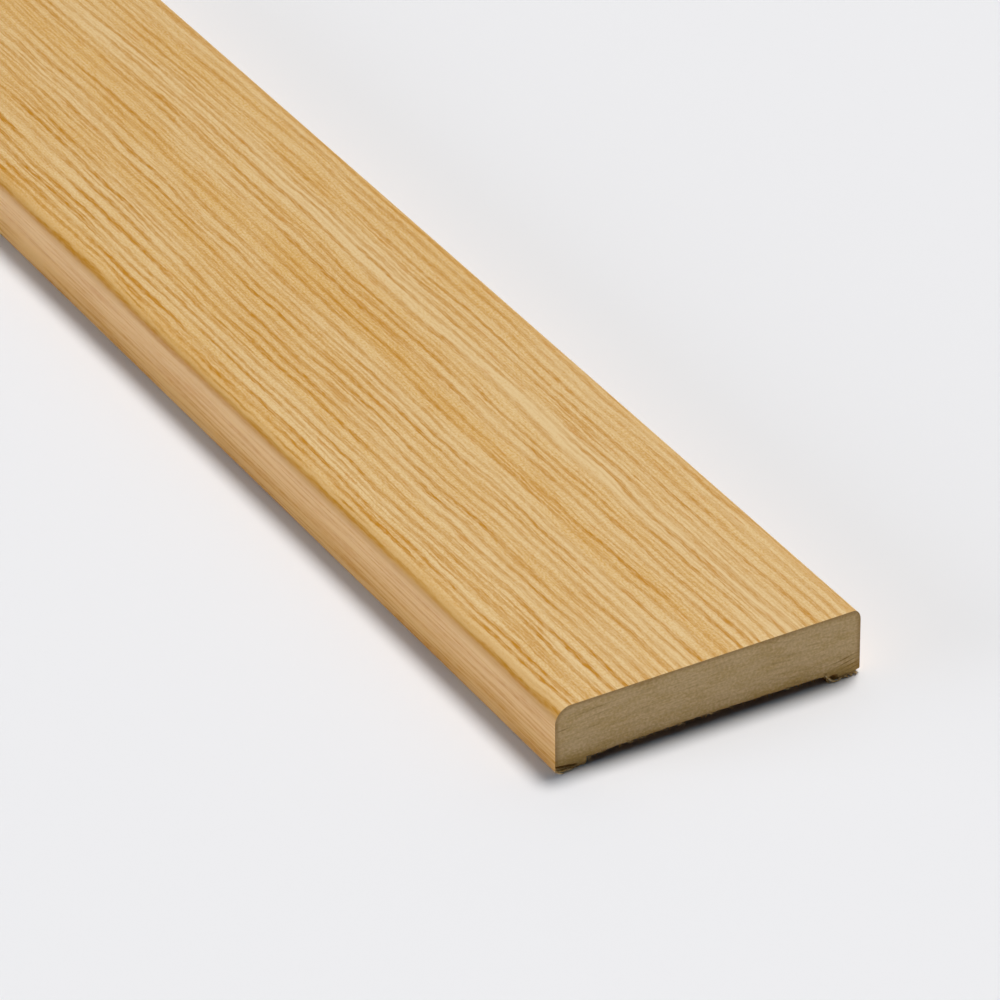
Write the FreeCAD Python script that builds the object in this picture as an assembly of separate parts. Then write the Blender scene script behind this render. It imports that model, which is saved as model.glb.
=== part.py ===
"""Architrave moulding: one length of flat door trim with two rounded face edges and a hollowed back.

A four-sided moulder runs the whole section in one pass, so the piece is a single solid: one outline,
carried straight along the length and sawn square at both ends.

Frame: X along the length, Y across the width, Z up through the thickness. The moulding lies on the two
narrow legs of its back with its face up. The origin is at the middle of the length and of the width, on
the plane of the legs. Millimetres.
"""

import FreeCAD
import Part

import math
import os

# Driving dimensions
LENGTH = 2200.0          # a door-height length, as such trim is sold
WIDTH = 56.0             # across the face
THICKNESS = 12.0         # from the plane of the legs to the face
FRAME_EDGE_RADIUS = 3.0  # quarter round along the face edge on the frame's side, at -Y
WALL_EDGE_RADIUS = 1.5   # smaller round along the face edge on the wall's side, at +Y
LEG_WIDTH = 6.0          # flat foot on each side of the relief, which bears on the wall or the frame
RELIEF_DEPTH = 1.2       # how far the back is hollowed beside the legs
RELIEF_CROWN = 0.4       # how much deeper the hollow is at the middle of the width
RELIEF_DRAFT_DEG = 10.0  # lean of the relief's side walls, which open towards the back
RELIEF_FILLET = 0.4      # round left by the cutter's corners in the root of the relief
BACK_ARRIS = 0.3         # small flat that breaks the two outer back edges

PARTS_FOLDER = "parts"
MATCH_TOLERANCE = 1e-4   # how near an edge of the blank lies to the corner of the section it is found by

# Corners of the section on its right half, and the crown of the hollow, as places (y, z)
FACE_CORNER = (WIDTH / 2, THICKNESS)
RELIEF_MOUTH = (WIDTH / 2 - LEG_WIDTH, 0.0)
RELIEF_ROOT = (
    RELIEF_MOUTH[0] - RELIEF_DEPTH * math.tan(math.radians(RELIEF_DRAFT_DEG)),
    RELIEF_DEPTH,
)
RELIEF_MIDDLE = (0.0, RELIEF_DEPTH + RELIEF_CROWN)


def mirrored(place):
    """The same corner on the left half of the section."""
    y, z = place
    return (-y, z)


def at_end(place):
    """This place of the section on the end where the blank starts."""
    y, z = place
    return FreeCAD.Vector(-LENGTH / 2, y, z)


def section_outline():
    """The section with its corners still sharp, but for the broken back edges, as a closed wire.

    Straight runs go from one root of the relief round the outside to the other, and an arc crowns the hollow.
    """
    half = WIDTH / 2
    right = [RELIEF_ROOT, RELIEF_MOUTH, (half - BACK_ARRIS, 0.0), (half, BACK_ARRIS), FACE_CORNER]
    left = [mirrored(place) for place in reversed(right)]
    outside = Part.makePolygon([at_end(place) for place in right + left])
    hollow = Part.Arc(at_end(mirrored(RELIEF_ROOT)), at_end(RELIEF_MIDDLE), at_end(RELIEF_ROOT)).toShape()
    return Part.Wire(outside.Edges + [hollow])


def runs_through(edge, place):
    """True for an edge that follows the length through this place of the section."""
    y, z = place
    return all(math.hypot(v.Y - y, v.Z - z) < MATCH_TOLERANCE for v in edge.Vertexes)


def rounded_along(solid, places, radius):
    """The solid with the edges that follow the length through these places of the section rounded off."""
    edges = [e for e in solid.Edges if any(runs_through(e, place) for place in places)]
    return solid.makeFillet(radius, edges)


def moulding():
    """The blank, carried along the length, with its face edges and the roots of its relief rounded."""
    blank = Part.Face(section_outline()).extrude(FreeCAD.Vector(LENGTH, 0, 0))
    wall_edge_done = rounded_along(blank, [FACE_CORNER], WALL_EDGE_RADIUS)
    faced = rounded_along(wall_edge_done, [mirrored(FACE_CORNER)], FRAME_EDGE_RADIUS)
    return rounded_along(faced, [RELIEF_ROOT, mirrored(RELIEF_ROOT)], RELIEF_FILLET)


def main():
    os.makedirs(PARTS_FOLDER, exist_ok=True)
    solid = moulding()
    solid.exportStep(os.path.join(PARTS_FOLDER, "architrave_moulding.step"))
    box = solid.BoundBox
    print(
        f"architrave_moulding: {box.XLength:.1f} x {box.YLength:.1f} x {box.ZLength:.1f} mm, "
        f"{solid.Volume / 1000:.1f} cm3, valid {solid.isValid()}, solids {len(solid.Solids)}"
    )


main()
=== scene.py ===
# %% [markdown]
# # An architrave moulding on a pale floor
#
# The object is one length of flat door trim: moulded softwood, 56 mm wide, 12 mm thick and 2.2 m long,
# with a satin wood-grain finish on its face and sides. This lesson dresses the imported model. It starts
# by loading that model as a fixed frame, and every size that the frame can give is read from it.

# %% Load the frame
import math

import bpy
import numpy as np
from mathutils import Matrix, Vector


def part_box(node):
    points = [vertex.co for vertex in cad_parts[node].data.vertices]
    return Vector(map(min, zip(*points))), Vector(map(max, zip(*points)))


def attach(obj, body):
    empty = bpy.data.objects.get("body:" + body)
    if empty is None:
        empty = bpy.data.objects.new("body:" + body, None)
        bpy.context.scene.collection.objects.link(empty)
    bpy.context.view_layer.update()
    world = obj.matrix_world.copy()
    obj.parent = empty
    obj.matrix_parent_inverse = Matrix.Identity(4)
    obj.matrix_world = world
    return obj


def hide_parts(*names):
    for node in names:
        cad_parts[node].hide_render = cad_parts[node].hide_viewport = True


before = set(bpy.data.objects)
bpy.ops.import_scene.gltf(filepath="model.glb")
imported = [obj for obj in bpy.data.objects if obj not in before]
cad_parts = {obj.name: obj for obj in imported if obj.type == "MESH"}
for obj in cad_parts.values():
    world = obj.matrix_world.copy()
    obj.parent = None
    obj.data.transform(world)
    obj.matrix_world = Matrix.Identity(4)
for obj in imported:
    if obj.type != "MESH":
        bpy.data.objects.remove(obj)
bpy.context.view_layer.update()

NODE = "architrave_moulding"
MM = 0.001  # one millimetre in Blender's metres
low, high = (np.array(corner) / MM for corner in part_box(NODE))
LENGTH, WIDTH, THICKNESS = (float(side) for side in high - low)
HALF_LENGTH = LENGTH / 2
HALF_WIDTH = WIDTH / 2
print(f"frame: {LENGTH:.1f} x {WIDTH:.1f} x {THICKNESS:.1f} mm")

# %% [markdown]
# ## Camera
#
# The photograph looks down on the sawn end at about a third of a right angle, from far away with a long
# lens, so the long edges hardly close up. The camera is set by the point that it aims at, its turn round
# that point and its distance, which are easier to change than a position and three angles.

# %% Camera
AIM = Vector((1043.07, -5.05, 12.0))  # a point on the face, near the sawn end
VIEW_AZIMUTH_DEG = 60.407  # 0 looks along +Y, 90 along -X
VIEW_ELEVATION_DEG = 32.318
VIEW_ROLL_DEG = -0.581
VIEW_DISTANCE = 1072.83
LENS_MM = 238.06  # on Blender's 36 mm wide sensor


def add_object(name, data):
    """An object of this data, linked to the scene."""
    made = bpy.data.objects.new(name, data)
    bpy.context.scene.collection.objects.link(made)
    return made


def add_camera():
    """Places the camera on the line from the aim point towards the viewer and turns it to look back.

    Towards is the sine and negative cosine of the azimuth, both times the cosine of the elevation, and
    the sine of the elevation.
    """
    azimuth = math.radians(VIEW_AZIMUTH_DEG)
    elevation = math.radians(VIEW_ELEVATION_DEG)
    level = math.cos(elevation)
    towards = Vector((math.sin(azimuth) * level, -math.cos(azimuth) * level, math.sin(elevation)))
    data = bpy.data.cameras.new("photo_view")
    data.lens = LENS_MM
    camera = add_object("photo_view", data)
    roll = Matrix.Rotation(math.radians(VIEW_ROLL_DEG), 4, "Z")
    turn = (-towards).to_track_quat("-Z", "Y").to_matrix().to_4x4() @ roll
    camera.matrix_world = Matrix.Translation((AIM + towards * VIEW_DISTANCE) * MM) @ turn
    bpy.context.scene.camera = camera
    return camera


camera = add_camera()
print("camera at", [round(value, 3) for value in camera.matrix_world.translation])

# %% [markdown]
# ## Floor and light
#
# The shadows tell where the light was: a narrow soft band on the left, a softer one in front of the end
# and none on the right, so a softbox hung above, a little to the right and behind. The long faint tail
# of both shadows is that of a pale wall behind it on the same side. A low panel on the left keeps that
# side bright, and cool light from a skylight takes the glow of the wood out of both shadows. Area lamps
# would fade along the strip, so all four are suns, with wide discs for soft edges. The floor is matt and
# pale, and bounces light onto the end and the sides.

# %% Light
SUNS = (
    # name, direction towards it, disc in degrees, level, tint, whether gloss mirrors it
    ("softbox_above", (-0.185, 0.315, 0.90), 20.5, 0.806, (1.0, 0.967, 0.950), True),
    ("panel_on_the_left", (-0.25, -0.96, 0.12), 40.0, 0.57, (1.0, 0.995, 1.085), False),
    ("pale_wall_behind", (-0.67, 0.74, 0.90), 75.0, 0.20, (1.0, 1.0, 1.0), False),
    ("skylight", (0.0, -0.10, 0.99), 30.0, 0.058, (0.57, 1.0, 1.43), False),
)
ROOM = (0.020, 0.020, 0.022, 1.0)  # the dim light of the studio walls


def add_sun(name, towards, disc_deg, level, tint, mirrored):
    """A sun of this disc and tint, of pi times the level in watts per square metre.

    A level of 1 then shows a white surface that faces the sun as white.
    """
    data = bpy.data.lights.new(name, "SUN")
    data.angle = math.radians(disc_deg)
    data.energy = math.pi * level
    data.color = tint
    sun = add_object(name, data)
    sun.rotation_mode = "QUATERNION"
    sun.rotation_quaternion = Vector(towards).to_track_quat("Z", "Y")
    sun.visible_glossy = mirrored
    return sun


suns = [add_sun(*sun) for sun in SUNS]
world = bpy.data.worlds.new("studio")
world.use_nodes = True
world.node_tree.nodes["Background"].inputs["Color"].default_value = ROOM
bpy.context.scene.world = world
bpy.context.scene.view_settings.view_transform = "Standard"
print("suns:", [sun.name for sun in suns])


# %% One function for colours
def linear(hex_colour):
    """Linear RGBA of an sRGB hex colour, with the numbers of the sRGB standard.

    A channel up to 0.04045 is divided by 12.92. A higher one has 0.055 added, is divided by 1.055 and
    raised to the power 2.4.
    """
    srgb = np.array([int(hex_colour[i:i + 2], 16) for i in (1, 3, 5)]) / 255
    rgb = np.where(srgb <= 0.04045, srgb / 12.92, ((srgb + 0.055) / 1.055) ** 2.4)
    return (*(float(channel) for channel in rgb), 1.0)


# %% Floor
FLOOR_REACH = 60000.0  # to each side, to fill every view
FLOOR_GAP = 0.02  # keeps the floor clear of the legs that stand on it
PAPER_GREY = "#ECECEC"
PAPER_ROUGHNESS = 0.9
PAPER_IOR = 1.5
PAPER_SPECULAR = 0.1


def start_material(name, roughness, ior):
    """A new material, its node tree and its shader, with the numbers that are the same all over it."""
    material = bpy.data.materials.new(name)
    material.use_nodes = True
    shader = material.node_tree.nodes["Principled BSDF"]
    shader.inputs["Roughness"].default_value = roughness
    shader.inputs["IOR"].default_value = ior
    return material, material.node_tree, shader


def matt_paper():
    """Matt white studio paper: an even pale grey that takes a soft shadow."""
    material, _, shader = start_material("matt_studio_paper", PAPER_ROUGHNESS, PAPER_IOR)
    shader.inputs["Base Color"].default_value = linear(PAPER_GREY)
    shader.inputs["Specular IOR Level"].default_value = PAPER_SPECULAR
    return material


def add_floor():
    """One large square, a hair below the plane of the legs."""
    side = np.array([[-1, -1], [1, -1], [1, 1], [-1, 1]]) * FLOOR_REACH
    corners = np.column_stack([side, np.full(len(side), -FLOOR_GAP)]) * MM
    mesh = bpy.data.meshes.new("floor")
    mesh.from_pydata(corners.tolist(), [], [[0, 1, 2, 3]])
    mesh.materials.append(matt_paper())
    return add_object("floor", mesh)


add_floor()
print(f"floor: {2 * FLOOR_REACH * MM:.0f} m square")

# %% [markdown]
# ## The section
#
# A four-sided moulder runs the whole section in one pass. It could be drawn as a curve and extruded, but
# the ends would then be single flat faces that can't be torn. So it is drawn as four boundary curves
# that meet at four corners: the face with its two roundings on top, the back with its legs and relief
# below, and the two flat sides. Four such curves span one grid, which serves twice: its rim is carried
# along the length as the skin, and the whole grid closes each sawn end.

# %% Sizes of the section
FRAME_EDGE = (3.0, 3.0)  # rounding along the face edge at -Y: how far across and how far down
WALL_EDGE = (1.35, 2.0)  # steeper one along the face edge at +Y
FRAME_LEG = 5.5  # width of the foot at -Y
WALL_LEG = 6.1  # width of the foot at +Y
RELIEF_DEPTH = 1.2  # beside the legs
RELIEF_CROWN = 0.4  # how much deeper the relief is in the middle
RELIEF_DRAFT_DEG = 10.0
RELIEF_FILLET = 0.2
BACK_ARRIS = 0.3

ROUND_STEPS = 24  # columns of the grid in each rounding, and over each leg with its relief wall
ARRIS_STEPS = 2  # of these, over the broken edge of the back
WALL_STEPS = 2  # over the relief wall
FILLET_STEPS = 6  # and over its rounded root
FLAT_STEPS = 120  # columns between the legs and between the roundings
ROWS = 80  # rows from the back to the face
ROW_CROWDING = 2  # power that crowds the rows towards the back, where the end is torn
COLUMNS = FLAT_STEPS + 2 * ROUND_STEPS
MIRROR = [-1, 1]  # turns a left place (across, height) into a right one
print(f"grid of {COLUMNS} by {ROWS} cells")


# %% Curves of the face
def along_polyline(corners, count):
    """Points at even steps of length along a chain of corners, ends included."""
    corners = np.asarray(corners, float)
    steps = np.linalg.norm(np.diff(corners, axis=0), axis=1)
    reached = np.concatenate([[0], np.cumsum(steps)])
    wanted = np.linspace(0, reached[-1], count)
    return np.column_stack([np.interp(wanted, reached, corners[:, axis]) for axis in (0, 1)])


def rounding(across, down):
    """A quarter oval from the top of the left side up to the face, about a point that far in and down.

    One less the cosine, times across, goes inwards, and one less the sine, times down, stays below.
    """
    angle = np.linspace(0, np.pi / 2, ROUND_STEPS + 1)
    y = across * (1 - np.cos(angle)) - HALF_WIDTH
    z = THICKNESS - down * (1 - np.sin(angle))
    return np.column_stack([y, z])


def face_curve():
    """The top of the section from left to right: even rounding, flat face, steep rounding."""
    left = rounding(*FRAME_EDGE)
    right = rounding(*WALL_EDGE)[::-1] * MIRROR
    flat = along_polyline([left[-1], right[0]], FLAT_STEPS + 1)
    return np.concatenate([left, flat[1:-1], right])


print("face curve of", len(face_curve()), "points")


# %% Curves of the back
def leg_curve(width):
    """The bottom of a left leg, from the outside in: broken edge, foot, leaning wall, rounded root."""
    foot_steps = ROUND_STEPS - ARRIS_STEPS - WALL_STEPS - FILLET_STEPS
    draft = math.radians(RELIEF_DRAFT_DEG)
    mouth = width - HALF_WIDTH
    reach = RELIEF_FILLET * math.tan((math.pi / 2 - draft) / 2)
    root = mouth + RELIEF_DEPTH * math.tan(draft)
    centre = np.array([root + reach, RELIEF_DEPTH - RELIEF_FILLET])
    angle = np.linspace(math.pi - draft, math.pi / 2, FILLET_STEPS + 1)
    fillet = centre + RELIEF_FILLET * np.column_stack([np.cos(angle), np.sin(angle)])
    outside = (-HALF_WIDTH, BACK_ARRIS)
    arris = along_polyline([outside, (BACK_ARRIS - HALF_WIDTH, 0)], ARRIS_STEPS + 1)
    foot = along_polyline([arris[-1], (mouth, 0)], foot_steps + 1)
    wall = along_polyline([foot[-1], fillet[0]], WALL_STEPS + 1)
    return np.concatenate([arris, foot[1:], wall[1:], fillet[1:]])


def back_curve():
    """The bottom from left to right: leg, crowned relief, leg.

    One less the square of the share of the relief's half width, times the crown, deepens the relief.
    """
    left = leg_curve(FRAME_LEG)
    right = leg_curve(WALL_LEG)[::-1] * MIRROR
    hollow = along_polyline([left[-1], right[0]], FLAT_STEPS + 1)
    hollow[:, 1] += RELIEF_CROWN * (1 - np.linspace(-1, 1, FLAT_STEPS + 1) ** 2)
    return np.concatenate([left, hollow[1:-1], right])


print(f"relief {back_curve()[:, 1].max():.2f} mm deep in the middle")


# %% Grid of the section
def section_grid():
    """The section as a grid of points between its four curves.

    Each point is the blend of the back and face curves at its column, plus the blend of the two side
    curves at its row, less the blend of the four corners, which both sums hold.
    """
    back = back_curve()
    face = face_curve()
    v = (np.linspace(0, 1, ROWS + 1) ** ROW_CROWDING)[:, None, None]
    u = np.linspace(0, 1, COLUMNS + 1)[None, :, None]
    left = along_polyline([back[0], face[0]], ROWS + 1)[:, None, :]
    right = along_polyline([back[-1], face[-1]], ROWS + 1)[:, None, :]
    back_corners = (1 - u) * (1 - v) * back[0] + u * (1 - v) * back[-1]
    corners = back_corners + (1 - u) * v * face[0] + u * v * face[-1]
    return (1 - v) * back + v * face + (1 - u) * left + u * right - corners


grid = section_grid()
print("section from", grid.min((0, 1)).round(2), "to", grid.max((0, 1)).round(2))

# %% [markdown]
# ## The skin
#
# The rim of the grid is carried along the length in even stations. It is closed by the grid itself at
# both ends, and the two share their rim points, so the skin is one watertight mesh. The saw tore the
# last fibres of the photographed end. They could be cut out with other shapes, but it is simpler to push
# the points of that end back into small pockets along the bottom.

# %% Rim of the section
def rim_indices():
    """Row and column of each rim point, from the middle of the back and turning towards +Y first."""
    middle = COLUMNS // 2
    right_back = [(0, column) for column in range(middle, COLUMNS + 1)]
    right_side = [(row, COLUMNS) for row in range(1, ROWS + 1)]
    face = [(ROWS, column) for column in range(COLUMNS - 1, -1, -1)]
    left_side = [(row, 0) for row in range(ROWS - 1, -1, -1)]
    left_back = [(0, column) for column in range(1, middle)]
    return np.array(right_back + right_side + face + left_side + left_back)


rim_rows, rim_columns = rim_indices().T
rim = grid[rim_rows, rim_columns]
rim_steps = np.linalg.norm(np.roll(rim, -1, axis=0) - rim, axis=1)
rim_reach = np.concatenate([[0], np.cumsum(rim_steps)])
GIRTH = float(rim_reach[-1])
print(f"rim of {len(rim)} points, girth {GIRTH:.1f} mm")

# %% Torn pockets of the sawn end
POCKETS = (
    # across, height, half width, half height, slope, depth, in millimetres but for the slope
    (-26.1, 0.80, 1.9, 0.15, -0.16, 1.4),
    (23.1, 0.62, 0.8, 0.42, 0.0, 1.0),
    (25.7, 0.25, 0.7, 0.16, 0.0, 0.6),
    (28.5, 0.00, 1.4, 0.85, 0.0, 1.3),
)
TEAR_STEP = 0.4  # from one torn fibre to the next along the lower edge
TEAR_HEIGHT = 0.30
TEAR_DEPTH = 0.25  # of the deepest tear: the random share is squared, so most are shallow
TEAR_SEED = 56
rng = np.random.default_rng(TEAR_SEED)
tear_across = np.arange(-HALF_WIDTH, HALF_WIDTH + TEAR_STEP, TEAR_STEP)
tear_depth = TEAR_DEPTH * rng.random(len(tear_across)) ** 2


def back_height(across):
    """Height of the back curve at these places across."""
    back = back_curve()
    return np.interp(across, back[:, 0], back[:, 1])


def pocket_depth(points):
    """Depth of the torn places of the end: a dome over each sloped oval, and a ragged lower edge.

    A dome is its depth times the root of one less the squared shares of the oval's half sizes.
    """
    ragged = np.interp(points[..., 0], tear_across, tear_depth)
    above = points[..., 1] - back_height(points[..., 0])
    depth = ragged * np.clip(1 - above / TEAR_HEIGHT, 0, 1)
    for across, height, half_width, half_height, slope, deepest in POCKETS:
        aside = points[..., 0] - across
        above = points[..., 1] - height - slope * aside
        oval = (aside / half_width) ** 2 + (above / half_height) ** 2
        depth = np.maximum(depth, deepest * np.sqrt(np.clip(1 - oval, 0, 1)))
    return depth


print("deepest tear of the lower edge", tear_depth.max().round(2), "mm")

# %% Carry the rim along the length
SECTIONS = 16  # lengths that the bake map lays side by side
STATIONS_PER_SECTION = 4
STATIONS = SECTIONS * STATIONS_PER_SECTION
body_count = (STATIONS + 1) * len(rim)
inside_shape = (ROWS - 1, COLUMNS - 1)
inside_count = math.prod(inside_shape)


def skin_points():
    """The rim at every station from the photographed end back, then the inside of both ends."""
    x = np.linspace(HALF_LENGTH, -HALF_LENGTH, STATIONS + 1)
    body = np.empty((STATIONS + 1, len(rim), 3))
    body[..., 0] = x[:, None]
    body[..., 1:] = rim
    body[0, :, 0] -= pocket_depth(rim)
    inside = grid[1:-1, 1:-1].reshape(-1, 2)
    near = np.column_stack([HALF_LENGTH - pocket_depth(inside), inside])
    far = np.column_stack([np.full(len(inside), -HALF_LENGTH), inside])
    return np.concatenate([body.reshape(-1, 3), near, far])


points = skin_points()
print(f"skin: {len(points)} points, {body_count} of them on the body")


# %% Faces of the skin
def end_indices(station, first_inside):
    """Vertex number of each grid point of an end: the rim is the body's, the rest the end's own."""
    numbers = np.empty((ROWS + 1, COLUMNS + 1), int)
    numbers[rim_rows, rim_columns] = station * len(rim) + np.arange(len(rim))
    numbers[1:-1, 1:-1] = first_inside + np.arange(inside_count).reshape(inside_shape)
    return numbers


def cell_corners(values):
    """The values at the four corners of each cell of a grid, counter-clockwise when rows go up."""
    corners = [values[:-1, :-1], values[:-1, 1:], values[1:, 1:], values[1:, :-1]]
    return np.stack(corners, 2).reshape(-1, 4, *values.shape[2:])


body_numbers = np.arange(body_count).reshape(STATIONS + 1, len(rim))
body_numbers = np.concatenate([body_numbers, body_numbers[:, :1]], axis=1)
body_quads = cell_corners(body_numbers)[:, ::-1]
near_quads = cell_corners(end_indices(0, body_count))
far_quads = cell_corners(end_indices(STATIONS, body_count + inside_count))[:, ::-1]
faces = np.concatenate([body_quads, near_quads, far_quads])
print(f"skin: {len(faces)} faces, {len(near_quads)} of them on each end")

# %% Put arrays into a mesh
SHARP_FROM_DEG = 30.0  # edges that turn more than this stay crisp


def mesh_piece(name, points_mm, face_corners):
    """A mesh object at the origin from points in millimetres and faces of equal corner count."""
    count, corners = face_corners.shape
    loop_starts = np.arange(0, count * corners, corners, dtype=np.int32)
    mesh = bpy.data.meshes.new(name)
    mesh.vertices.add(len(points_mm))
    mesh.vertices.foreach_set("co", (np.asarray(points_mm) * MM).astype(np.float32).ravel())
    mesh.loops.add(count * corners)
    mesh.loops.foreach_set("vertex_index", face_corners.astype(np.int32).ravel())
    mesh.polygons.add(count)
    mesh.polygons.foreach_set("loop_start", loop_starts)
    mesh.update(calc_edges=True)
    mesh.validate()
    return add_object(name, mesh)


skin = mesh_piece("moulded_strip", points, faces)
skin.data.set_sharp_from_angle(angle=math.radians(SHARP_FROM_DEG))
print(f"mesh {skin.name}: {len(skin.data.polygons)} faces")

# %% [markdown]
# ## Coordinates for the finishes
#
# Object coordinates cut straight through an edge, but the wood figure follows the surface round it. So
# the figure's coordinates are stored with the points: the distance along the length and the distance
# round the section, both in millimetres. The distance from the edge of the finish is stored on the ends
# too, because the wrapped finish shows there as a thin dark line.

# %% Figure coordinates and the distance from the finish
on_face_middle = (rim_rows == ROWS) & (rim_columns == COLUMNS // 2)
face_middle = int(np.flatnonzero(on_face_middle)[0])
around = rim_reach[face_middle] + rim[face_middle, 0] - rim_reach
off_arris = (rim_columns >= ARRIS_STEPS) & (rim_columns <= COLUMNS - ARRIS_STEPS)
on_back = (rim_rows == 0) & off_arris
bare_step = on_back & np.roll(on_back, -1)
bare_point = bare_step & np.roll(bare_step, 1)


def figure_coordinates():
    """Distance from the photographed end, distance round from the middle of the face, and zero."""
    figure = np.zeros((len(points), 3), np.float32)
    figure[:, 0] = HALF_LENGTH - points[:, 0]
    figure[:body_count, 1] = np.tile(around[:-1], STATIONS + 1)
    return figure


def finish_distance():
    """Distance of each point of an end from the nearest rim point that the finish covers."""
    covered = rim[~bare_point]
    inside = grid[1:-1, 1:-1].reshape(-1, 1, 2)
    of_rim = np.linalg.norm(rim[:, None] - covered[None], axis=2).min(axis=1)
    of_inside = np.linalg.norm(inside - covered[None], axis=2).min(axis=1)
    of_body = np.tile(of_rim, STATIONS + 1)
    return np.concatenate([of_body, of_inside, of_inside]).astype(np.float32)


figure_mm = skin.data.attributes.new("figure_mm", "FLOAT_VECTOR", "POINT")
figure_mm.data.foreach_set("vector", figure_coordinates().ravel())
finish_mm = skin.data.attributes.new("finish_mm", "FLOAT", "POINT")
finish_mm.data.foreach_set("value", finish_distance())
covered_around = around[:-1][~bare_point]
print(f"the finish reaches from {covered_around.min():.1f} to {covered_around.max():.1f} mm round")

# %% [markdown]
# ## A map for baking
#
# The finishes here need no map, but a game engine wants pictures, and to bake them each face needs its
# own place on a square. Unwrapped whole, the strip would fill only a thin line. So it is cut into sixteen
# lengths that fill a grid of four by four, and the two ends lie in the space that is left above them.

# %% Lay the skin out on a square
TILES = math.isqrt(SECTIONS)
BODY_SHARE = 0.90  # of the square's height, for the sixteen lengths
MAP_MARGIN = 0.004
END_WIDE = 0.44
END_HIGH = 0.085
FAR_END_FROM = 0.5  # of the square's width, where the far end starts


def body_map():
    """Place of each corner of the body's faces: along a length across its tile, round it up the tile."""
    station, column = np.divmod(np.arange(STATIONS * len(rim)), len(rim))
    along = np.stack([station + 1, station + 1, station, station], -1) / STATIONS_PER_SECTION
    turn = np.stack([column, column + 1, column + 1, column], -1)
    section = (station // STATIONS_PER_SECTION)[:, None]
    tile_row, tile_column = np.divmod(section, TILES)
    u = (tile_column + along - section) / TILES
    v = (tile_row + rim_reach[turn] / GIRTH) * BODY_SHARE / TILES
    squeeze = 1 - 2 * MAP_MARGIN * TILES
    middle_u = (tile_column + 0.5) / TILES
    middle_v = (tile_row + 0.5) * BODY_SHARE / TILES
    return np.stack([middle_u + (u - middle_u) * squeeze, middle_v + (v - middle_v) * squeeze], -1)


def end_map(first_u):
    """Place of each point of an end: across the width to the right, up through the thickness."""
    place = grid / [WIDTH, THICKNESS] + [0.5, 0.0]
    return place * [END_WIDE, END_HIGH] + [first_u, BODY_SHARE + MAP_MARGIN]


near_places = cell_corners(end_map(MAP_MARGIN))
far_places = cell_corners(end_map(FAR_END_FROM + MAP_MARGIN))[:, ::-1]
bake_places = np.concatenate([body_map(), near_places, far_places])
bake_map = skin.data.uv_layers.new(name="OFBake")
bake_map.data.foreach_set("uv", bake_places.astype(np.float32).ravel())
print("bake map from", bake_places.min((0, 1)).round(3), "to", bake_places.max((0, 1)).round(3))

# %% [markdown]
# ## Patterns
#
# Wood is fibres, so every pattern on it is long and narrow. A picture of wood could be wrapped round the
# strip, but noise never repeats and stays sharp at any distance. Blender's noise has no size of its own,
# so the place is divided by the size of the patches in millimetres, longer along the grain than across
# it. The grey values crowd about one half, so they are spread between two given values.

# %% One function for nodes
MATH = "ShaderNodeMath"
SPLIT = "ShaderNodeSeparateXYZ"
MAP_RANGE = "ShaderNodeMapRange"
EASED = {"interpolation_type": "SMOOTHSTEP"}
MIX = "ShaderNodeMix"
COLOUR_MIX = {"out": 2, "data_type": "RGBA"}
FACTOR = 0  # sockets of a Mix node that mixes colours
UNDER = 6
OVER = 7


def put(tree, kind, inputs, out=0, **settings):
    """Adds a node, sets its options, sets or links each input, and returns one of its outputs."""
    made = tree.nodes.new(kind)
    for name, value in settings.items():
        setattr(made, name, value)
    for socket, value in inputs.items():
        if isinstance(value, bpy.types.NodeSocket):
            tree.links.new(value, made.inputs[socket])
        else:
            made.inputs[socket].default_value = value
    return made.outputs[out]


# %% Stretched noise and other shared parts
BUMP_STRENGTH = 0.4


def stretched(tree, place, size_mm, low, high, seed=0.0, spread=0.2, middle=0.5, detail=1.0):
    """Patches of this size: noise of the place over the size, eased from low to high about its middle."""
    over_size = put(tree, "ShaderNodeMapping", {
        "Vector": place, "Scale": [1 / side for side in size_mm], "Location": (0.0, 0.0, seed),
    })
    noise = put(tree, "ShaderNodeTexNoise", {"Vector": over_size, "Scale": 1.0, "Detail": detail})
    return put(tree, MAP_RANGE, {
        "Value": noise, "From Min": middle - spread, "From Max": middle + spread,
        "To Min": low, "To Max": high,
    }, **EASED)


def object_place(tree):
    """The place on the piece in millimetres: Object coordinates in metres over a millimetre."""
    place = put(tree, "ShaderNodeTexCoord", {}, out="Object")
    return put(tree, "ShaderNodeVectorMath", {0: place, "Scale": 1 / MM}, operation="SCALE")


def link_material(tree, shader, colour, height, relief_mm, sunk=False):
    """Links the colour to the shader, and a bump as high as the pattern times the relief, or as deep."""
    bump = put(tree, "ShaderNodeBump", {
        "Strength": BUMP_STRENGTH, "Distance": relief_mm * MM, "Height": height,
    }, invert=sunk)
    tree.links.new(colour, shader.inputs["Base Color"])
    tree.links.new(bump, shader.inputs["Normal"])


# %% [markdown]
# ## Satin wood-grain finish
#
# The face and sides carry a thin pine-coloured veneer under a satin lacquer. The eye sees a pale straw
# ground, more golden further from the cut end, with golden brown lines about two millimetres apart. They
# run along the length, sway together, swell and fade, and break into orange flecks here and there. On
# the sides they give way to fine straight threads. A wave texture could draw the lines, but it makes
# them all alike. Here they are drawn as rings are counted: the distance across is bent by slow noise and
# divided by the spacing, and each whole number holds one line with a place, a strength and dashes of its
# own.

# %% Bends of the figure
BENDS = (
    # length, width and reach to each side of the bends, in millimetres
    (140.0, 36.0, 0.65),
    (40.0, 11.0, 0.28),
    (12.0, 6.0, 0.17),
    (2.4, 0.3, 0.10),
)
BEND_DETAIL = 2.0


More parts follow.
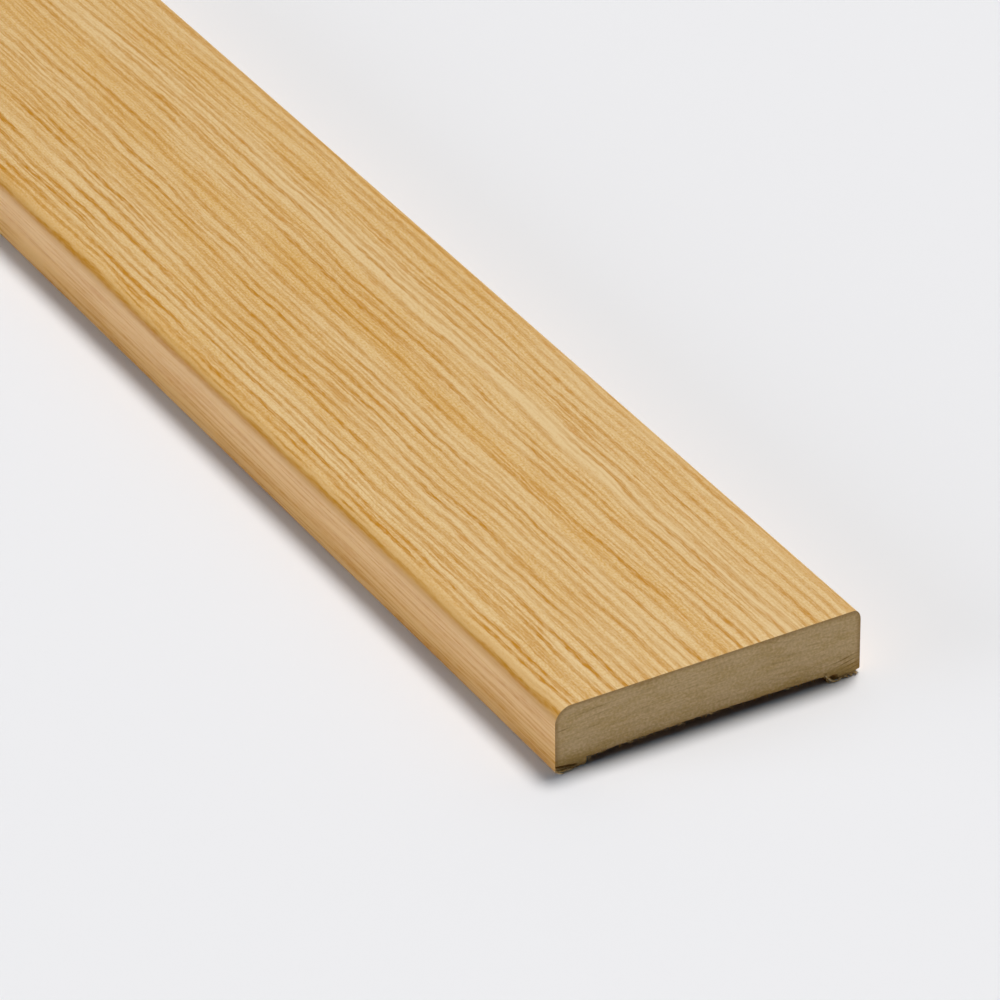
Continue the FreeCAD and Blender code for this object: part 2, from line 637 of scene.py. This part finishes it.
def bent_across(tree, place):
    """The distance across plus noise of each size, so that neighbouring lines sway together."""
    across = put(tree, SPLIT, {0: place}, out="Y")
    for number, (length, width, reach) in enumerate(BENDS, start=1):
        size_mm = (length, width, 1.0)
        bend = stretched(tree, place, size_mm, -reach, reach, seed=float(number), detail=BEND_DETAIL)
        across = put(tree, MATH, {0: across, 1: bend}, operation="ADD")
    return across


# %% Lines of the figure
STRAY_SIZE = (200.0, 8.0, 1.0)
SWELL_LENGTH = 14.0
LANE_GAP = 9.7  # sets the dashes of neighbouring lines far apart in the noise
OWN_LEAST = 0.85  # strength of the faintest line
# The rest are in spacings
STRAY = 0.18  # how far lines crowd together in places
LANE_MIDDLE = 0.5
ASIDE = 0.18  # how far a line lies from the middle of its lane
HALF_LINE = 0.29  # from the middle of a line to its foot
CREST = 0.09  # from the middle of a line to where it starts to fade
SWELL = 0.06  # how much a line widens and narrows


def figure_lines(tree, place, across, spacing, dash_length, faintest, seed):
    """How dark the lines are: each whole number of spacings is a lane with one soft ridge of its own.

    The distance across over the spacing, plus a slow stray, is split into a whole number, which names
    the lane and its random values, and a rest, which is the place in the lane.
    """
    stray = stretched(tree, place, STRAY_SIZE, -STRAY, STRAY, seed=seed)
    count = put(tree, MATH, {0: across, 1: 1 / spacing, 2: stray}, operation="MULTIPLY_ADD")
    number = put(tree, MATH, {0: count}, operation="FLOOR")
    share = put(tree, MATH, {0: count}, operation="FRACT")
    own = put(tree, "ShaderNodeTexWhiteNoise", {"W": number}, out="Color", noise_dimensions="1D")
    own_place = put(tree, SPLIT, {0: own}, out="X")
    own_strength = put(tree, SPLIT, {0: own}, out="Y")
    middle = put(tree, MAP_RANGE, {
        "Value": own_place, "To Min": LANE_MIDDLE - ASIDE, "To Max": LANE_MIDDLE + ASIDE,
    })
    apart = put(tree, MATH, {0: share, 1: middle}, operation="SUBTRACT")
    aside = put(tree, MATH, {0: apart}, operation="ABSOLUTE")
    along = put(tree, SPLIT, {0: place}, out="X")
    lane_gap = put(tree, MATH, {0: number, 1: LANE_GAP}, operation="MULTIPLY")
    lane = put(tree, "ShaderNodeCombineXYZ", {"X": along, "Y": lane_gap})
    swell_size = (SWELL_LENGTH, 1.0, 1.0)
    foot = stretched(tree, lane, swell_size, HALF_LINE - SWELL, HALF_LINE + SWELL, seed=seed + 1)
    line = put(tree, MAP_RANGE, {"Value": aside, "From Min": foot, "From Max": CREST}, **EASED)
    dash = stretched(tree, lane, (dash_length, 1.0, 1.0), faintest, 1.0, seed=seed + 2)
    strength = put(tree, MAP_RANGE, {"Value": own_strength, "To Min": OWN_LEAST})
    dashed = put(tree, MATH, {0: line, 1: dash}, operation="MULTIPLY")
    return put(tree, MATH, {0: dashed, 1: strength}, operation="MULTIPLY")


# %% Ground of the figure
STRAW_GOLD = "#DBAC60"
EDGE_GOLD = "#DFAE62"  # where the finish is drawn over the edges and down the sides
SHOULDER_SHADE_GOLD = "#D19F54"  # painted shade on the shoulder of the rounding
TONE = dict(size_mm=(50.0, 6.0, 1.0), low=0.10, high=0.52, seed=8.0, detail=2.0)
FIBRE = dict(size_mm=(6.0, 0.28, 1.0), low=-0.18, high=0.18, seed=9.0, detail=2.0)
# Pores are about a tenth of a millimetre wide, and are drawn three times as coarse to show
PORES = dict(size_mm=(0.55, 0.3, 1.0), low=-0.40, high=0.40, seed=10.0, detail=2.0)
BANDS = (
    # place across, half width, how much more golden than the ground
    (2.0, 4.0, 0.30),
    (14.0, 4.5, -0.30),
)
DRIFT_LENGTH = 170.0  # from the pale wood near the cut end to more golden wood
DRIFT_NEAR = -0.10  # how much more golden than the ground, at the near end of that length
DRIFT_FAR = 0.11  # and at its far end
EDGE_FROM = 25.0  # from the middle of the face, where the gold of the edges starts
EDGE_WHOLE = 28.5  # and where it is full
EDGE_SHARE = 0.85
SHOULDER_SHADE = (28.7, 1.25, 0.9)  # place, half width and share of the painted shade on the shoulder


def near_across(tree, across, middle, half_width, amount):
    """The amount in the middle, eased to nothing at the half width to each side."""
    apart = put(tree, MATH, {0: across, 1: middle}, operation="SUBTRACT")
    aside = put(tree, MATH, {0: apart}, operation="ABSOLUTE")
    return put(tree, MAP_RANGE, {
        "Value": aside, "From Max": half_width, "To Min": amount, "To Max": 0.0,
    }, **EASED)


def straw_layers(tree, place):
    """Amount and colour of each gold over the straw: in streaks, bands and pores, at the edges, and as
    painted shade on the shoulder.
    """
    along = put(tree, SPLIT, {0: place}, out="X")
    across = put(tree, SPLIT, {0: place}, out="Y")
    tone = stretched(tree, place, **TONE)
    drift = put(tree, MAP_RANGE, {
        "Value": along, "From Max": DRIFT_LENGTH, "To Min": DRIFT_NEAR, "To Max": DRIFT_FAR,
    })
    bands = [near_across(tree, across, *band) for band in BANDS]
    fibre = stretched(tree, place, **FIBRE)
    pores = stretched(tree, place, **PORES)
    for part in (drift, *bands, fibre, pores):
        last = part is pores
        tone = put(tree, MATH, {0: tone, 1: part}, operation="ADD", use_clamp=last)
    aside = put(tree, MATH, {0: across}, operation="ABSOLUTE")
    edge = put(tree, MAP_RANGE, {
        "Value": aside, "From Min": EDGE_FROM, "From Max": EDGE_WHOLE, "To Max": EDGE_SHARE,
    }, **EASED)
    # Painted shade: a deeper gold where the rounding turns away from the bright floor and loses its
    # sheen.
    shoulder_shade = near_across(tree, aside, *SHOULDER_SHADE)
    return (tone, STRAW_GOLD), (edge, EDGE_GOLD), (shoulder_shade, SHOULDER_SHADE_GOLD)


# %% How dark the figure is
BOLD = dict(spacing=2.1, dash_length=24.0, faintest=0.45, seed=20.0)
FINE = dict(spacing=1.05, dash_length=15.0, faintest=0.18, seed=30.0)
FINE_ZONE = dict(size_mm=(45.0, 5.0, 1.0), low=0.25, high=0.88, seed=13.0)
THREAD = dict(size_mm=(28.0, 0.65, 1.0), low=-0.25, high=0.85, seed=15.0, spread=0.17, detail=2.0)
FADE_REACH = 25.0  # from the middle of the face to each side
FADE_LEFT = 1.08  # strength of the lines at the left of it
FADE_RIGHT = 0.76  # and at the right
THREADS_FROM = 28.5  # from the middle of the face, where the lines start to give way to threads
THREADS_WHOLE = 31.0  # and where only threads are left


def figure_darkness(tree, place, ragged):
    """The larger of bold and fine lines, ragged and fading to the right, and threads on the sides."""
    across = bent_across(tree, place)
    bold = figure_lines(tree, place, across, **BOLD)
    fine = figure_lines(tree, place, across, **FINE)
    zone = stretched(tree, place, **FINE_ZONE)
    fine = put(tree, MATH, {0: fine, 1: zone}, operation="MULTIPLY")
    lines = put(tree, MATH, {0: bold, 1: fine}, operation="MAXIMUM")
    lines = put(tree, MATH, {0: lines, 1: ragged}, operation="MULTIPLY")
    fading = put(tree, MAP_RANGE, {
        "Value": across, "From Min": -FADE_REACH, "From Max": FADE_REACH,
        "To Min": FADE_LEFT, "To Max": FADE_RIGHT,
    })
    lines = put(tree, MATH, {0: lines, 1: fading}, operation="MULTIPLY", use_clamp=True)
    thread = stretched(tree, place, **THREAD)
    thread = put(tree, MATH, {0: thread, 1: ragged}, operation="MULTIPLY")
    aside = put(tree, MATH, {0: across}, operation="ABSOLUTE")
    return put(tree, MAP_RANGE, {
        "Value": aside, "From Min": THREADS_FROM, "From Max": THREADS_WHOLE,
        "To Min": lines, "To Max": thread,
    }, **EASED)


# %% The finish
STRAW_PALE = "#E9CA94"
LINE_BROWN = "#C38625"
FLECK_ORANGE = "#CB8426"
RAGGED = dict(size_mm=(2.2, 0.3, 1.0), low=0.60, high=1.20, seed=11.0, detail=2.0)
FLECK = dict(size_mm=(9.0, 0.7, 1.0), low=0.0, high=0.4, seed=12.0, middle=0.70, spread=0.08)
LACQUER_ROUGHNESS = 0.20  # satin
LACQUER_IOR = 1.6
LINE_SINK = 0.02  # how deep the lines lie under the lacquer, in millimetres


def satin_veneer():
    """Pine-coloured veneer under satin lacquer: soft lines on straw under an even sheen."""
    material, tree, shader = start_material(
        "satin_lacquered_pine_veneer", LACQUER_ROUGHNESS, LACQUER_IOR)
    place = put(tree, "ShaderNodeAttribute", {}, out="Vector", attribute_name="figure_mm")
    ragged = stretched(tree, place, **RAGGED)
    dark = figure_darkness(tree, place, ragged)
    fleck = stretched(tree, place, **FLECK)
    fleck = put(tree, MATH, {0: fleck, 1: ragged}, operation="MULTIPLY")
    colour = linear(STRAW_PALE)
    for amount, over in (*straw_layers(tree, place), (dark, LINE_BROWN), (fleck, FLECK_ORANGE)):
        layer = {FACTOR: amount, UNDER: colour, OVER: linear(over)}
        colour = put(tree, MIX, layer, **COLOUR_MIX)
    link_material(tree, shader, colour, dark, LINE_SINK, sunk=True)
    return material


skin.data.materials.append(satin_veneer())
print("face and sides:", skin.data.materials[0].name)

# %% [markdown]
# ## Sawn end
#
# The saw cut across the fibres, so the end is rough and dull and takes a khaki tone. Growth rings show as
# faint streaks, nearly level, because the strip was cut far from the heart of the log. Plain stripes
# could stand for them, but the distance from the heart, counted in rings, curves them as a tree does. A
# brown line along the top and the sides is the cut edge of the finish.

# %% Ground of the sawn end
# The end is painted darker and more olive low down: painted shade and warm bounce where the floor in
# front lies in shadow.
SHADE_FULL_BELOW = 1.5  # height up to which the end is most olive
OLIVE_AND_SHADE_LOW = 0.9  # how olive it is there
SHADE_GONE_ABOVE = 3.6  # height from which it is most khaki
OLIVE_ABOVE_SHADE = 0.12  # how olive it is there
SAWN_PATCH = dict(size_mm=(1.0, 7.0, 1.6), low=-0.25, high=0.25, seed=1.0, detail=2.0)


def olive_and_shade_share(tree, place, fuzz):
    """How olive the end is: darker and more olive towards the back as painted shade, uneven in patches
    and with the fuzz of cut fibres.
    """
    height = put(tree, SPLIT, {0: place}, out="Z")
    olive_and_shade = put(tree, MAP_RANGE, {
        "Value": height, "From Min": SHADE_FULL_BELOW, "From Max": SHADE_GONE_ABOVE,
        "To Min": OLIVE_AND_SHADE_LOW, "To Max": OLIVE_ABOVE_SHADE,
    })
    for part in (stretched(tree, place, **SAWN_PATCH), fuzz):
        olive_and_shade = put(tree, MATH, {0: olive_and_shade, 1: part}, operation="ADD", use_clamp=True)
    return olive_and_shade


# %% Rings and streaks of the sawn end
HEART = (0.0, -10.0, -120.0)  # middle of the growth rings, seen from the end
ON_END = (0.0, 1.0, 1.0)  # keeps the places across and up
RING_SPACING = 1.15
HALF_RING = 0.5  # in spacings
RING_FOOT = 0.22  # from between two rings to where one starts to show, in spacings
RING_BEND = dict(size_mm=(1.0, 16.0, 5.0), low=-0.6, high=0.6, seed=3.0)
RING_SHOWN = dict(size_mm=(1.0, 9.0, 1.4), low=0.0, high=0.22, seed=4.0, middle=0.58)
SCRATCH = dict(size_mm=(1.0, 4.5, 0.22), low=0.0, high=0.19, seed=5.0, detail=2.0)
# Cut fibres are about 0.03 mm wide, and are drawn as tufts ten times as coarse to show
MOTTLE = dict(size_mm=(1.0, 0.5, 0.4), low=0.0, high=0.24, seed=6.0, detail=3.0)
STREAKS = (
    # across, height, turn in degrees, half length, half height, darkness
    (-26.4, 7.75, 4.0, 1.9, 0.16, 0.75),
    (-22.0, 9.8, 4.0, 5.0, 0.22, 0.42),
    (-20.0, 8.7, 4.0, 4.0, 0.16, 0.30),
    (-11.0, 7.0, 3.0, 5.5, 0.18, 0.35),
    (25.2, 3.5, 10.0, 3.2, 0.20, 0.80),
    (25.6, 2.7, 12.0, 3.0, 0.18, 0.90),
    (26.2, 2.0, 12.0, 2.4, 0.18, 0.90),
    (26.8, 1.4, 12.0, 1.8, 0.16, 0.90),
)


def ring_shade(tree, place):
    """How brown the end is: faint rings, scratches and mottle, and long ovals for the darkest streaks."""
    flat = put(tree, "ShaderNodeVectorMath", {0: place, 1: ON_END}, operation="MULTIPLY")
    radius = put(tree, "ShaderNodeVectorMath", {0: flat, 1: HEART}, operation="DISTANCE", out="Value")
    bend = stretched(tree, place, **RING_BEND)
    rings = {0: radius, 1: 1 / RING_SPACING, 2: bend}
    count = put(tree, MATH, rings, operation="MULTIPLY_ADD")
    ridge = put(tree, MATH, {0: count, 1: HALF_RING}, operation="PINGPONG")
    shown = stretched(tree, place, **RING_SHOWN)
    shade = put(tree, MAP_RANGE, {
        "Value": ridge, "From Min": RING_FOOT, "From Max": HALF_RING, "To Max": shown,
    }, **EASED)
    parts = [stretched(tree, place, **pattern) for pattern in (SCRATCH, MOTTLE)]
    for across, up, turn_deg, half_length, half_height, darkness in STREAKS:
        oval = put(tree, "ShaderNodeMapping", {
            "Vector": flat, "Location": (0.0, across, up),
            "Rotation": (math.radians(turn_deg), 0.0, 0.0), "Scale": (1.0, half_length, half_height),
        }, vector_type="TEXTURE")
        reach = put(tree, "ShaderNodeVectorMath", {0: oval}, operation="LENGTH", out="Value")
        fall = {"Value": reach, "To Min": darkness, "To Max": 0.0}
        parts.append(put(tree, MAP_RANGE, fall))
    for part in parts:
        shade = put(tree, MATH, {0: shade, 1: part}, operation="ADD", use_clamp=True)
    return shade


# %% Sawn softwood
SAWN_KHAKI = "#E9CC9B"
SAWN_OLIVE_AND_SHADE = "#CCA967"
RING_BROWN = "#A07A42"
EDGE_BROWN = "#9A6C2C"
EDGE_WIDTH = 1.1
EDGE_SHADE = 0.5
FUZZ = dict(size_mm=(1.0, 0.55, 0.40), low=-0.30, high=0.30, seed=2.0, detail=3.0)
FUZZ_HEIGHT = 0.08  # in millimetres
SAWN_ROUGHNESS = 0.85
SAWN_IOR = 1.4
SAWN_SPECULAR = 0.2


def sawn_softwood():
    """Softwood as the saw leaves it: dull khaki, fuzzy with cut fibres, streaked along faint rings."""
    material, tree, shader = start_material("sawn_softwood_end", SAWN_ROUGHNESS, SAWN_IOR)
    shader.inputs["Specular IOR Level"].default_value = SAWN_SPECULAR
    place = object_place(tree)
    fuzz = stretched(tree, place, **FUZZ)
    from_finish = put(tree, "ShaderNodeAttribute", {}, out="Fac", attribute_name="finish_mm")
    edge = put(tree, MAP_RANGE, {
        "Value": from_finish, "From Max": EDGE_WIDTH, "To Min": EDGE_SHADE, "To Max": 0.0,
    }, **EASED)
    # Olive of the wood in patches and fuzz, and painted shade near the floor.
    olive_and_shade = olive_and_shade_share(tree, place, fuzz)
    shade = ring_shade(tree, place)
    colour = linear(SAWN_KHAKI)
    for amount, over in ((olive_and_shade, SAWN_OLIVE_AND_SHADE), (shade, RING_BROWN), (edge, EDGE_BROWN)):
        layer = {FACTOR: amount, UNDER: colour, OVER: linear(over)}
        colour = put(tree, MIX, layer, **COLOUR_MIX)
    link_material(tree, shader, colour, fuzz, FUZZ_HEIGHT)
    return material


skin.data.materials.append(sawn_softwood())
print("both ends:", skin.data.materials[1].name)

# %% [markdown]
# ## Planed back
#
# The back is hidden on a wall, so it is left bare from the moulder: softwood with faint grain and the
# even ripple that turning knives leave across the length. Its brown is darker than fresh wood, as painted
# shade that keeps the hollow under the strip dark. The ripple could be in the mesh, but it is so shallow
# that a sine along the length as bump shows it as well.

# %% Planed softwood
# A darker brown than fresh wood: painted shade for the hollow under the strip.
PLANED_SHADE_BROWN = "#A97C46"
PLANED_GRAIN = "#85592A"
GRAIN = dict(size_mm=(60.0, 1.1, 1.1), low=0.0, high=0.8, seed=1.0, detail=2.0)
PLANED_PATCH = dict(size_mm=(80.0, 14.0, 14.0), low=0.0, high=0.35, seed=2.0)
KNIFE_PITCH = 1.8  # from one knife mark to the next, in millimetres
KNIFE_DEPTH = 0.05
PLANED_ROUGHNESS = 0.7
PLANED_IOR = 1.45


def planed_softwood():
    """Bare softwood from the moulder: dark brown as painted shade for the hollow, dull, with faint grain
    and shallow knife marks.
    """
    material, tree, shader = start_material("planed_softwood_back", PLANED_ROUGHNESS, PLANED_IOR)
    place = object_place(tree)
    grain = stretched(tree, place, **GRAIN)
    patch = stretched(tree, place, **PLANED_PATCH)
    shade = put(tree, MATH, {0: grain, 1: patch}, operation="ADD", use_clamp=True)
    colour = put(tree, MIX, {
        FACTOR: shade, UNDER: linear(PLANED_SHADE_BROWN), OVER: linear(PLANED_GRAIN),
    }, **COLOUR_MIX)
    along = put(tree, SPLIT, {0: place}, out="X")
    per_mm = 2 * math.pi / KNIFE_PITCH
    turns = put(tree, MATH, {0: along, 1: per_mm}, operation="MULTIPLY")
    ripple = put(tree, MATH, {0: turns}, operation="SINE")
    link_material(tree, shader, colour, ripple, KNIFE_DEPTH)
    return material


skin.data.materials.append(planed_softwood())
print("back:", skin.data.materials[2].name)


# %% Give each face of the skin its finish
def finish_numbers():
    """Number of each face's material: 0 on the face and sides, 1 on both ends, 2 on the back."""
    body = np.tile(np.where(bare_step, 2, 0), STATIONS)
    ends = np.ones(2 * len(near_quads), int)
    return np.concatenate([body, ends]).astype(np.int32)


skin.data.polygons.foreach_set("material_index", finish_numbers())
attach(skin, "root")
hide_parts(NODE)
print("faces of each finish:", np.bincount(finish_numbers()))

# %% [markdown]
# ## Torn fibres
#
# The saw left the cut with torn fibres along its lower edge: a bent lip under the left leg, a curl and
# flaps under the right one, and small hairs and crumbs between them. Hair particles could make these, but
# each one here is a closed sliver, an oval carried along a bent path to a point, so the piece is a real
# mesh. All slivers are worked out together as one array.

# %% Slivers from arrays
SLIVER_STEPS = 12
SLIVER_SIDES = 7
UPWARDS = (0.05, 0.03, 1.0)  # a little off upright, so that no path runs along it
TAPER_POWER = 0.4  # keeps a sliver wide until close to its tip
TIP_SHARE = 0.15  # of its width, left at the tip


def bent_paths(start, knee, tip):
    """Curves from start to tip that aim at the knee: (1-t)^2 of start, 2t(1-t) of knee, t^2 of tip."""
    t = np.linspace(0, 1, SLIVER_STEPS)[None, :, None]
    return (1 - t) ** 2 * start[:, None] + 2 * t * (1 - t) * knee[:, None] + t ** 2 * tip[:, None]


def sliver_points(paths, wide, thick, ragged):
    """An oval lying flat on each step of each path, narrower towards the tip, and a point at each end."""
    ahead = np.gradient(paths, axis=1)
    ahead /= np.linalg.norm(ahead, axis=2, keepdims=True)
    aside = np.cross(ahead, UPWARDS)
    aside /= np.linalg.norm(aside, axis=2, keepdims=True)
    above = np.cross(aside, ahead)
    taper = np.linspace(1, 0, SLIVER_STEPS) ** TAPER_POWER * (1 - TIP_SHARE) + TIP_SHARE
    angle = np.linspace(0, 2 * np.pi, SLIVER_SIDES, endpoint=False)
    reach = taper[None, :, None, None] * ragged[..., None]
    oval = (
        aside[:, :, None] * (wide[:, None] * np.cos(angle))[:, None, :, None]
        + above[:, :, None] * (thick[:, None] * np.sin(angle))[:, None, :, None]
    )
    rings = paths[:, :, None] + oval * reach
    poles = paths[:, [0, -1]]
    return np.concatenate([rings.reshape(len(paths), -1, 3), poles], axis=1)


def sliver_faces(count):
    """Triangles of that many slivers: two for each cell between rings, and a fan to each end's point."""
    ring = np.arange(SLIVER_STEPS * SLIVER_SIDES).reshape(SLIVER_STEPS, SLIVER_SIDES)
    ring = np.concatenate([ring, ring[:, :1]], axis=1)
    cells = cell_corners(ring)
    first, last = SLIVER_STEPS * SLIVER_SIDES + np.arange(2)
    root = np.column_stack([np.full(SLIVER_SIDES, first), ring[0, 1:], ring[0, :-1]])
    tip = np.column_stack([np.full(SLIVER_SIDES, last), ring[-1, :-1], ring[-1, 1:]])
    one = np.concatenate([cells[:, [0, 1, 2]], cells[:, [0, 2, 3]], root, tip])
    return (one[None] + np.arange(count)[:, None, None] * (last + 1)).reshape(-1, 3)


print(f"a sliver has {len(sliver_faces(1))} triangles")

# %% Lips, listed one by one
LIPS = (
    # start, knee and tip as (out of the end, across, height), half width, half thickness
    ((-0.3, -27.9, 0.34), (0.60, -27.8, 0.44), (0.25, -24.7, 0.20), 0.26, 0.13),
    ((-0.4, -27.6, 0.14), (0.60, -27.7, 0.14), (0.60, -26.8, 0.12), 0.22, 0.10),
    ((-0.1, 21.5, 1.75), (0.70, 22.7, -0.70), (0.30, 24.4, 0.45), 0.22, 0.18),
    ((-0.3, 25.0, 0.40), (0.20, 25.2, 0.42), (0.40, 25.6, 0.08), 0.40, 0.08),
    ((-0.3, 26.0, 0.45), (0.20, 26.2, 0.46), (0.40, 26.4, 0.08), 0.42, 0.08),
    ((-0.3, 26.9, 0.50), (0.20, 27.0, 0.52), (0.40, 27.3, 0.12), 0.36, 0.08),
    ((-0.3, 24.4, 0.30), (0.15, 24.5, 0.32), (0.30, 24.8, 0.10), 0.26, 0.07),
)
by_hand = [np.array(column) for column in zip(*LIPS)]
print(len(LIPS), "lips placed by hand")

# %% Hairs placed at random
CRUMBS = (-19.6, -15.0, -12.7, -5.4, -0.1, 14.6)  # places across, along the edge of the relief
HAIRS_PER_CRUMB = 5
CRUMB_SCATTER = 0.25
EDGE_HAIRS = 70
LEG_HAIRS = 40
HAIR_KINDS = (
    # lowest and highest start above the lower edge, longest hair, radius
    (0.02, 0.30, 0.5, 0.10),    # crumbs
    (0.02, 0.15, 0.6, 0.045),   # hairs along the edge of the relief
    (0.10, 0.40, 0.6, 0.05),    # hairs under the legs
)
RADIUS_SPREAD = (0.6, 1.3)
HAIR_FLATNESS = 0.7  # thickness of a hair over its width
ROOT_DEPTH = 0.25  # how far inside the end a hair starts
LENGTH_SPREAD = (0.35, 1.0)
SWING_SPREAD = (-0.6, 0.6)  # how far a tip swings aside, in lengths
KNEE_OUT = 0.5  # how far out the knee is, in lengths
KNEE_SWING = 0.4  # share of the swing that the knee takes
KNEE_LIFT = (-0.1, 0.25)
TIP_OUT = 0.6  # how far out the tip is, in lengths
TIP_DROP = (0.1, 0.9)  # how far it droops, in lengths
LOWEST_TIP = 0.08


def random_hairs(across, height, longest):
    """Starts, knees and tips of hairs that leave the lower edge and droop, none below the floor."""
    count = len(across)
    start = np.column_stack([np.full(count, -ROOT_DEPTH), across, height])
    length = rng.uniform(*LENGTH_SPREAD, count) * longest
    swing = rng.uniform(*SWING_SPREAD, count) * length
    lift = rng.uniform(*KNEE_LIFT, count)
    drop = rng.uniform(*TIP_DROP, count) * length
    knee = start + np.column_stack([ROOT_DEPTH + KNEE_OUT * length, KNEE_SWING * swing, lift])
    tip = start + np.column_stack([ROOT_DEPTH + TIP_OUT * length, swing, -drop])
    tip[:, 2] = np.maximum(tip[:, 2], LOWEST_TIP)
    return start, knee, tip


def hair_places():
    """Places across of the crumbs, of the hairs along the relief and of those under both legs."""
    crumbs = np.repeat(CRUMBS, HAIRS_PER_CRUMB)
    crumbs = crumbs + rng.normal(0, CRUMB_SCATTER, len(crumbs))
    relief_side = HALF_WIDTH - WALL_LEG
    edge = rng.uniform(-relief_side, relief_side, EDGE_HAIRS)
    legs = rng.uniform(relief_side, HALF_WIDTH - BACK_ARRIS, LEG_HAIRS) * rng.choice(MIRROR, LEG_HAIRS)
    return crumbs, edge, legs


def all_slivers():
    """The listed lips, then the three kinds of hair, as one set of arrays."""
    places = hair_places()
    heights = [rng.uniform(*kind[:2], len(across)) for across, kind in zip(places, HAIR_KINDS)]
    sets = [by_hand]
    for across, above, (_, _, longest, radius) in zip(places, heights, HAIR_KINDS):
        height = above + back_height(across)
        radii = radius * rng.uniform(*RADIUS_SPREAD, len(across))
        sets.append([*random_hairs(across, height, longest), radii, HAIR_FLATNESS * radii])
    return [np.concatenate(part) for part in zip(*sets)]


# %% Mesh of the torn fibres
LOWEST = 0.01  # keeps the slivers above the plane of the legs
RAGGED_SPREAD = (0.75, 1.2)


def torn_fibres():
    """One mesh of all slivers, each moved to the plane of the photographed end."""
    start, knee, tip, wide, thick = all_slivers()
    to_end = np.array([HALF_LENGTH, 0.0, 0.0])
    ragged = rng.uniform(*RAGGED_SPREAD, (len(wide), SLIVER_STEPS, SLIVER_SIDES))
    shape = sliver_points(bent_paths(start, knee, tip) + to_end, wide, thick, ragged)
    shape[..., 2] = np.maximum(shape[..., 2], LOWEST)
    return mesh_piece("torn_fibres", shape.reshape(-1, 3), sliver_faces(len(wide)))


fibres = torn_fibres()
print(f"torn fibres: {len(fibres.data.polygons)} triangles")

# %% Torn softwood
TORN_PALE = "#F6DFAE"
TORN_BROWN = "#CDA45E"
BROWNED = dict(size_mm=(0.5, 0.5, 0.3), low=0.0, high=1.0, seed=1.0, detail=2.0)
TORN_ROUGHNESS = 0.8
TORN_IOR = 1.4


def torn_softwood():
    """Fresh torn fibres: pale straw, brown where they bent, dull."""
    material, tree, shader = start_material("torn_softwood_fibre", TORN_ROUGHNESS, TORN_IOR)
    browned = stretched(tree, object_place(tree), **BROWNED)
    colour = put(tree, MIX, {
        FACTOR: browned, UNDER: linear(TORN_PALE), OVER: linear(TORN_BROWN),
    }, **COLOUR_MIX)
    tree.links.new(colour, shader.inputs["Base Color"])
    return material


fibres.data.materials.append(torn_softwood())
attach(fibres, "root")
print("torn fibres:", fibres.data.materials[0].name)
